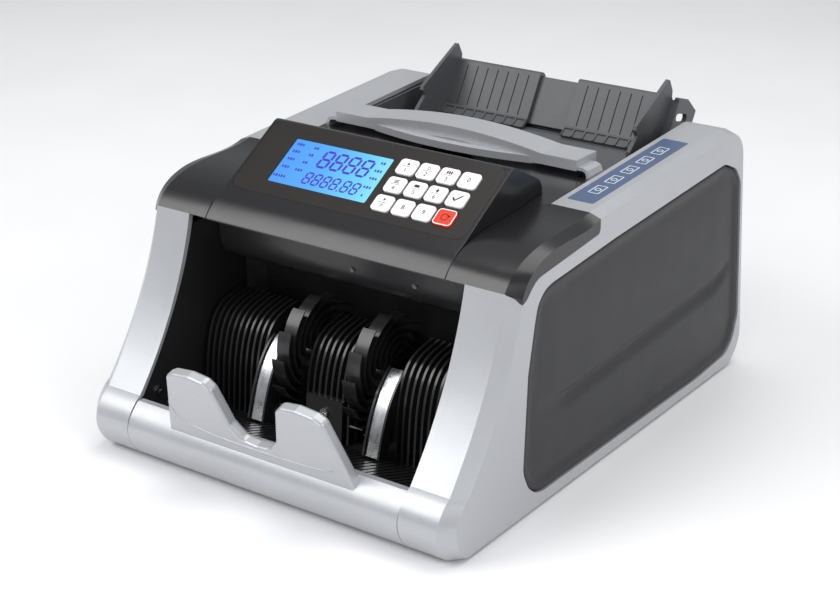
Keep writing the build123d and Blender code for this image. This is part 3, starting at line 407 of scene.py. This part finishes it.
def frame_band(width, height, radius, thick):
    """A border of even width that follows a rounded rectangle."""
    outer = rounded_box(width, height, radius)
    inner = rounded_box(width - 2 * thick, height - 2 * thick, radius - thick)
    count = len(outer)
    vertices = [(u, v, w) for w in (0.0, INK) for ring_ in (outer, inner) for u, v in ring_]
    faces = []
    for i in range(count):
        j = (i + 1) % count
        o0, o1, n0, n1 = i, j, count + i, count + j
        faces += [(2 * count + o0, 2 * count + o1, 2 * count + n1, 2 * count + n0),
                  (n0, n1, o1, o0), (o0, o1, 2 * count + o1, 2 * count + o0),
                  (n1, n0, 2 * count + n0, 2 * count + n1)]
    return vertices, faces


def key_prints():
    """Figures and plain signs on the keys."""
    upper, lower, figure = 0.0022, -0.0024, 0.0040
    line = bar(0, 0.0002, 0.0066, 0.00022)
    icons = {
        "key_1": [arrow(0, upper, 0.0020)],
        "key_7": [arrow(0, upper, 0.0020, up=False)],
        "key_2": [ring(0, upper, 0.0008, 0.0003)],
        "key_3": [bar(du, upper, 0.0004, 0.0021) for du in (-0.0014, 0.0, 0.0014)],
        "key_4": [bar(0, upper + dv, 0.0034, 0.0004) for dv in (-0.0009, 0.0, 0.0009)],
        "key_5": [prism(shifted(rounded_box(0.0034, 0.0019, 0.0003, 2), 0, upper), 0.0, INK)],
        "key_6": [bar(0, upper, 0.0024, 0.0005), bar(0, upper, 0.0005, 0.0024)],
    }
    for name in ("key_1", "key_2", "key_3", "key_4", "key_5", "key_6", "key_7"):
        parts = icons[name] + [line, moved(digit_mesh(name[-1], figure), 0, lower)]
        flat_piece(name + "_print", key_place(name), parts, name + "_cap", "black", "ink")
    for name in ("key_0", "key_8", "key_9"):
        parts = [moved(digit_mesh(name[-1], figure * 1.1), 0, 0)]
        flat_piece(name + "_print", key_place(name), parts, name + "_cap", "black", "ink")
    tick = [prism([(-0.0030, 0.0001), (-0.0022, -0.0012), (-0.0008, -0.0022), (0.0032, 0.0022),
                   (0.0025, 0.0027), (-0.0009, -0.0010), (-0.0024, 0.0007)][::-1], 0.0, INK)]
    flat_piece("key_set_print", key_place("key_set"), tick, "key_set_cap", "black", "ink")
    turn = [ring(0, 0, 0.0019, 0.00055, 0.6, 2 * pi - 0.2),
            prism([(0.0010, 0.0014), (0.0034, 0.0014), (0.0022, -0.0004)][::-1], 0.0, INK)]
    flat_piece("key_restart_print", key_place("key_restart"), turn, "key_restart_cap", "black",
               "ink")
    border = [frame_band(0.0122, 0.0110, 0.0023, 0.00055)]
    flat_piece("key_restart_border", key_place("key_restart"), border, "key_restart_cap",
               "key_white")


def seven_bars(du, dv, width, height, thick, lean=0.12):
    """All seven bars of one display figure, with pointed ends and a slight lean."""
    parts = []
    for (ax, ay), (bx, by) in SEGMENTS.values():
        a = Vector((ax * width / 2, ay * height / 2))
        b = Vector((bx * width / 2, by * height / 2))
        along = (b - a).normalized()
        side = Vector((-along.y, along.x))
        a += along * thick * 0.20
        b -= along * thick * 0.20
        outline = [a, a + along * thick / 2 - side * thick / 2, b - along * thick / 2 - side * thick / 2,
                   b, b - along * thick / 2 + side * thick / 2, a + along * thick / 2 + side * thick / 2]
        outline = [(p.x + lean * p.y + du, p.y + dv) for p in outline]
        parts.append(prism(outline, 0.0, INK))
    return join(parts)


def display_prints():
    """Large figures of the lit display, with plain blocks where a display has its small signs."""
    up, out = panel_axes()
    co = [v.co for v in nodes["display_module"].data.vertices]
    top = max(v.dot(out) for v in co)
    glass = [v for v in co if v.dot(out) > top - 0.0005]
    centre = Vector(((min(v.x for v in glass) + max(v.x for v in glass)) / 2, 0, 0))
    middle = (min(v.dot(up) for v in glass) + max(v.dot(up) for v in glass)) / 2
    centre += up * middle + out * top
    parts = []
    for i in range(4):
        parts.append(seven_bars(-0.0068 + i * 0.0094, 0.0062, 0.0062, 0.0120, 0.0015))
    for i in range(6):
        gap = 0.0012 if i > 3 else 0.0
        parts.append(seven_bars(-0.0105 + i * 0.0066 + gap, -0.0092, 0.0042, 0.0080, 0.0011))
    point = rounded_box(0.0011, 0.0011, 0.0003, 2)
    parts.append(prism(shifted(point, 0.0130, -0.0134), 0.0, INK))
    for row, (v, first, second) in enumerate(
            ((0.0132, 3, 2), (0.0076, 3, 2), (0.0016, 3, 2), (-0.0046, 3, 3), (-0.0118, 5, 0))):
        parts.append(icon_word(-0.0300, v, first))
        if second:
            parts.append(icon_word(-0.0182 - 0.0006 * row, v - 0.0004, second))
    for v, count in ((0.0124, 2), (0.0064, 3), (0.0006, 3), (-0.0062, 3), (-0.0124, 1)):
        parts.append(icon_word(0.0305, v, count))
    flat_piece("display_figures", panel_place(centre), parts, "chassis", "display", "segment")


def icon_word(du, dv, count):
    """A row of small blocks, every other one a little larger, in place of a small sign."""
    block = rounded_box(0.0013, 0.0019, 0.0003, 2)
    parts = []
    for i in range(count):
        offset = (i - (count - 1) / 2) * 0.0019
        parts.append(prism(shifted(block, du + offset, dv, 1.0 if i % 2 else 0.85), 0.0, INK))
    return join(parts)


# ---------------------------------------------------------------- side panels


def side_skin(side):
    """Pillowed dark panel with a rolled edge and one long crease, right (1) or left (-1)."""
    node = ("right" if side > 0 else "left") + "_side_panel"
    low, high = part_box(node)
    outer_x = high.x if side > 0 else -low.x
    outline = panel_outline(node)
    rings = [[(y, z, outer_x - depth) for y, z in inset_loop(outline, inset)] for inset, depth in ROLL]
    vertices = [(side * x, y, z) for loop in rings for y, z, x in loop]
    count = len(outline)
    faces = []
    for k in range(len(rings) - 1):
        for i in range(count):
            j = (i + 1) % count
            faces.append((k * count + i, k * count + j, (k + 1) * count + j, (k + 1) * count + i))
    field, inner_faces = panel_field(rings[-1], len(vertices), low, high)
    vertices += [(side * x, y, z) for y, z, x in field]
    faces += inner_faces
    if side < 0:
        faces = [tuple(reversed(f)) for f in faces]
    skin = piece(node.replace("panel", "skin"), vertices, faces, "chassis", "charcoal", smooth=True)
    thicken(skin, SKIN_THICK)
    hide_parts(node)


def panel_outline(node):
    """Ordered rim of the CAD panel as (y, z), with even steps."""
    return even_loop(hull([(v.co.y, v.co.z) for v in nodes[node].data.vertices]), RIM_POINTS)


def hull(points):
    """Convex hull of flat points, counter-clockwise."""
    points = sorted(set(points))

    def half(row):
        chain = []
        for p in row:
            while len(chain) > 1 and cross(chain[-2], chain[-1], p) <= 0:
                chain.pop()
            chain.append(p)
        return chain[:-1]

    return half(points) + half(reversed(points))


def cross(o, a, b):
    return (a[0] - o[0]) * (b[1] - o[1]) - (a[1] - o[1]) * (b[0] - o[0])


def even_loop(points, count):
    """The same closed outline with count points at even steps."""
    total = sum(distance(a, b) for a, b in zip(points, points[1:] + points[:1]))
    step, made, carry = total / count, [], 0.0
    for a, b in zip(points, points[1:] + points[:1]):
        length = distance(a, b)
        at = carry
        while at < length and len(made) < count:
            t = at / length
            made.append((a[0] + (b[0] - a[0]) * t, a[1] + (b[1] - a[1]) * t))
            at += step
        carry = at - length
    return made


def distance(a, b):
    return ((a[0] - b[0]) ** 2 + (a[1] - b[1]) ** 2) ** 0.5


def inset_loop(loop, amount):
    """A closed counter-clockwise outline moved in by an amount."""
    made = []
    count = len(loop)
    for i in range(count):
        before, after = loop[i - 2], loop[(i + 2) % count]
        dy, dz = after[0] - before[0], after[1] - before[1]
        length = max((dy * dy + dz * dz) ** 0.5, 1e-9)
        made.append((loop[i][0] - dz / length * amount, loop[i][1] + dy / length * amount))
    return made


def crease_share(t):
    """Height of the crease, as a share of the panel's height, at share t of its length."""
    for (t0, s0), (t1, s1) in zip(CREASE, CREASE[1:]):
        if t <= t1:
            return s0 + (s1 - s0) * (t - t0) / (t1 - t0)
    return CREASE[-1][1]


def crease_height(y, low, high):
    """Height of the crease at y, with its bends eased."""
    t = (y - low.y) / (high.y - low.y)
    eased = sum(crease_share(min(1.0, max(0.0, t + 0.012 * i))) for i in range(-3, 4)) / 7
    return low.z + (high.z - low.z) * eased


def crease_depth(y, z, low, high):
    """Depth of the crease: steep on its upper side, a long slope below, faded at both ends."""
    t = (y - low.y) / (high.y - low.y)
    strength = max(0.0, min(1.0, (t - 0.06) / 0.12, (0.985 - t) / 0.09))
    away = z - crease_height(y, low, high)
    share = 1.0 - away / CREASE_UPPER if away > 0 else 1.0 + away / CREASE_LOWER
    share = max(0.0, share)
    return CREASE_DEPTH * strength * share * share * (3.0 - 2.0 * share)


def inside(point, loop, margin):
    """True if a point is inside a convex loop by at least the margin."""
    for i in range(0, len(loop), 3):
        a, b = loop[i], loop[(i + 3) % len(loop)]
        if cross(a, b, point) < margin * distance(a, b):
            return False
    return True


def panel_field(loop, start, low, high):
    """Vertices and faces inside the inner ring; rows of points follow the crease."""
    rim = [(y, z) for y, z, _ in loop]
    count = len(rim)
    base = loop[0][2]
    grid = []
    columns = int((high.y - low.y) / COLUMN_STEP)
    for i in range(columns + 1):
        y = low.y + (high.y - low.y) * i / columns
        line = crease_height(y, low, high)
        rows = [line + row for row in CREASE_ROWS]
        rows += [line + 0.005 + ROW_STEP * k for k in range(1, 20)]
        rows += [line - 0.016 - ROW_STEP * k for k in range(1, 14)]
        grid += [(y, z) for z in rows if inside((y, z), rim, RIM_MARGIN)]
    flat = [Vector(p) for p in rim + grid]
    made, _, triangles, origins, _, _ = delaunay_2d_cdt(flat, [], [list(range(count))], 1, 1e-7)
    vertices, names = [], []
    for point, origin in zip(made, origins):
        if origin and min(origin) < count:
            names.append(start - count + min(origin))
            continue
        y, z = point
        edge = min(distance((y, z), p) for p in rim)
        rise = FIELD_RISE * min(1.0, edge / FIELD_EASE) ** 0.7
        names.append(start + len(vertices))
        vertices.append((y, z, base + rise - crease_depth(y, z, low, high)))
    return vertices, [tuple(names[i] for i in triangle) for triangle in triangles]


def thicken(obj, thickness):
    """Give a skin its wall, inward, and keep the result in the mesh."""
    modifier = obj.modifiers.new("wall", "SOLIDIFY")
    modifier.thickness = thickness
    modifier.offset = -1.0
    apply_modifiers(obj)


def apply_modifiers(obj):
    depsgraph = bpy.context.evaluated_depsgraph_get()
    mesh = bpy.data.meshes.new_from_object(obj.evaluated_get(depsgraph))
    obj.modifiers.clear()
    obj.data = mesh


# ---------------------------------------------------------------- note stop


def note_stop_line():
    """Raised line along the foot of the note stop, turned up at its ends."""
    low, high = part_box("note_stop")
    stop = nodes["note_stop"]
    places = []
    for (x0, s0), (x1, s1) in zip(SWOOSH, SWOOSH[1:]):
        for k in range(6):
            x, share = x0 + (x1 - x0) * k / 6, s0 + (s1 - s0) * k / 6
            z = low.z + (high.z - low.z) * share
            hit, where, normal, _ = stop.ray_cast(Vector((x, -1.0, z)), Vector((0, 1, 0)))
            if hit and normal.y < -0.4:
                places.append((where, normal))
    vertices, faces = [], []
    for i, (where, normal) in enumerate(places):
        ahead = places[min(i + 1, len(places) - 1)][0] - places[max(i - 1, 0)][0]
        beside = normal.cross(ahead).normalized()
        taper = min(1.0, (i + 1) / 8, (len(places) - i) / 8)
        for across, lift in ((-0.0011, -0.0002), (-0.0004, 0.00035), (0.0004, 0.00035), (0.0011, -0.0002)):
            vertices.append(where + beside * across * taper + normal * lift)
        if i:
            a, b = 4 * i - 4, 4 * i
            faces += [(a + k, a + k + 1, b + k + 1, b + k) for k in range(3)]
            faces.append((a + 3, a, b, b + 3))
    last = len(vertices)
    faces += [(0, 1, 2, 3), (last - 1, last - 2, last - 3, last - 4)]
    piece("note_stop_line", vertices, faces, "chassis", "silver", smooth=True)


# ---------------------------------------------------------------- label on the rail
def rail_label():
    """Blue label on the right rail with plain note signs."""
    low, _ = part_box("right_side_cover")
    start, end = (low.y + at for at in LABEL_SPAN)
    x_low, x_high = (low.x + at for at in LABEL_SIDES)
    heights = [top_height("right_side_cover", (x_low + x_high) / 2, y) for y in (start, end)]
    slope = atan2(heights[1] - heights[0], end - start)
    centre = Vector(((x_low + x_high) / 2, (start + end) / 2, sum(heights) / 2))
    along, across = Vector((0, cos(slope), sin(slope))), Vector((-1, 0, 0))
    out = along.cross(across)
    place = Matrix.Translation(centre) @ Matrix((along, across, out)).transposed().to_4x4()
    length, width = end - start, x_high - x_low
    base = prism(rounded_box(length, width, 0.0012), 0.0, 0.00012)
    flat_piece("rail_label", place, [base], "chassis", "overlay", "label_blue")
    signs = []
    for i in range(LABEL_SIGNS):
        du = (i - (LABEL_SIGNS - 1) / 2) * LABEL_PITCH
        signs.append(raised(frame_band(0.0125, 0.0070, 0.0008, 0.0007), du, 0.0))
        signs.append(raised(ring(0, 0, 0.0014, 0.0007), du, 0.0))
    flat_piece("rail_label_print", place, signs, "chassis", "overlay", "label_pale")


def raised(part, du, dv, up=0.0001):
    vertices, faces = part
    return [(u + du, v + dv, w + up) for u, v, w in vertices], faces


def top_height(node, x, y):
    """Height of a node's upper surface at x, y."""
    obj = nodes[node]
    hit, where, _, _ = obj.ray_cast(Vector((x, y, 1.0)), Vector((0, 0, -1)))
    if not hit:
        raise RuntimeError(f"no surface of {node} at {x:.3f}, {y:.3f}")
    return where.z


# ---------------------------------------------------------------- stage
def studio():
    """Pale floor and soft lights."""
    low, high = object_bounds()
    bpy.ops.mesh.primitive_plane_add(size=8.0, location=(0, 0, low[2] - 0.0002))
    floor = bpy.context.object
    floor.name = "floor"
    g = Graph("pale_floor")
    tint = g.ramp(g.noise(3.0), [(0.3, (0.86, 0.86, 0.87)), (0.7, (0.89, 0.89, 0.90))])
    floor.data.materials.append(g.finish(tint, g.spread(g.noise(12.0), 0.5, 0.6)))
    floor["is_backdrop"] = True
    world = bpy.data.worlds.new("studio")
    bpy.context.scene.world = world
    world.use_nodes = True
    background = world.node_tree.nodes["Background"]
    background.inputs["Color"].default_value = (0.95, 0.97, 1.0, 1.0)
    background.inputs["Strength"].default_value = 0.39
    centre = Vector(((low[0] + high[0]) / 2, (low[1] + high[1]) / 2, (low[2] + high[2]) / 2))
    for name, place, size, power in (
        ("key_light", (-0.9, -1.1, 1.3), 1.1, 17.0),
        ("top_light", (0.1, 0.3, 1.6), 1.4, 16.0),
        ("right_light", (1.5, -0.2, 0.8), 0.9, 8.0),
        ("front_light", (0.3, -1.5, 0.5), 0.8, 4.5),
    ):
        light = bpy.data.lights.new(name, "AREA")
        light.shape = "SQUARE"
        light.size = size
        light.energy = power
        lamp = bpy.data.objects.new(name, light)
        lamp.location = place
        lamp.rotation_euler = (centre - Vector(place)).to_track_quat("-Z", "Y").to_euler()
        bpy.context.scene.collection.objects.link(lamp)


def true_colours():
    """Show surface colours as they are, without a film curve."""
    bpy.context.scene.view_settings.view_transform = "Standard"


def add_camera():
    """The camera at the viewing angle: 35 degrees to the right of the front, 22 degrees down."""
    azimuth, elevation, away = radians(35.187), radians(22.311), 1.1293
    target = Vector((-0.0052, 0.0, 0.0671))
    forward = Vector((-sin(azimuth) * cos(elevation), cos(azimuth) * cos(elevation), -sin(elevation)))
    data = bpy.data.cameras.new("camera")
    data.lens = 78.28
    data.sensor_width = 36.0
    data.clip_start = 0.01
    camera = bpy.data.objects.new("camera", data)
    camera.location = target - forward * away
    camera.rotation_euler = (pi / 2 - elevation, 0.0, azimuth)
    bpy.context.scene.collection.objects.link(camera)
    bpy.context.scene.camera = camera


# ---------------------------------------------------------------- build
repaint()
key_prints()
display_prints()
side_skin(1)
side_skin(-1)
rail_label()
note_stop_line()
studio()
true_colours()
add_camera()
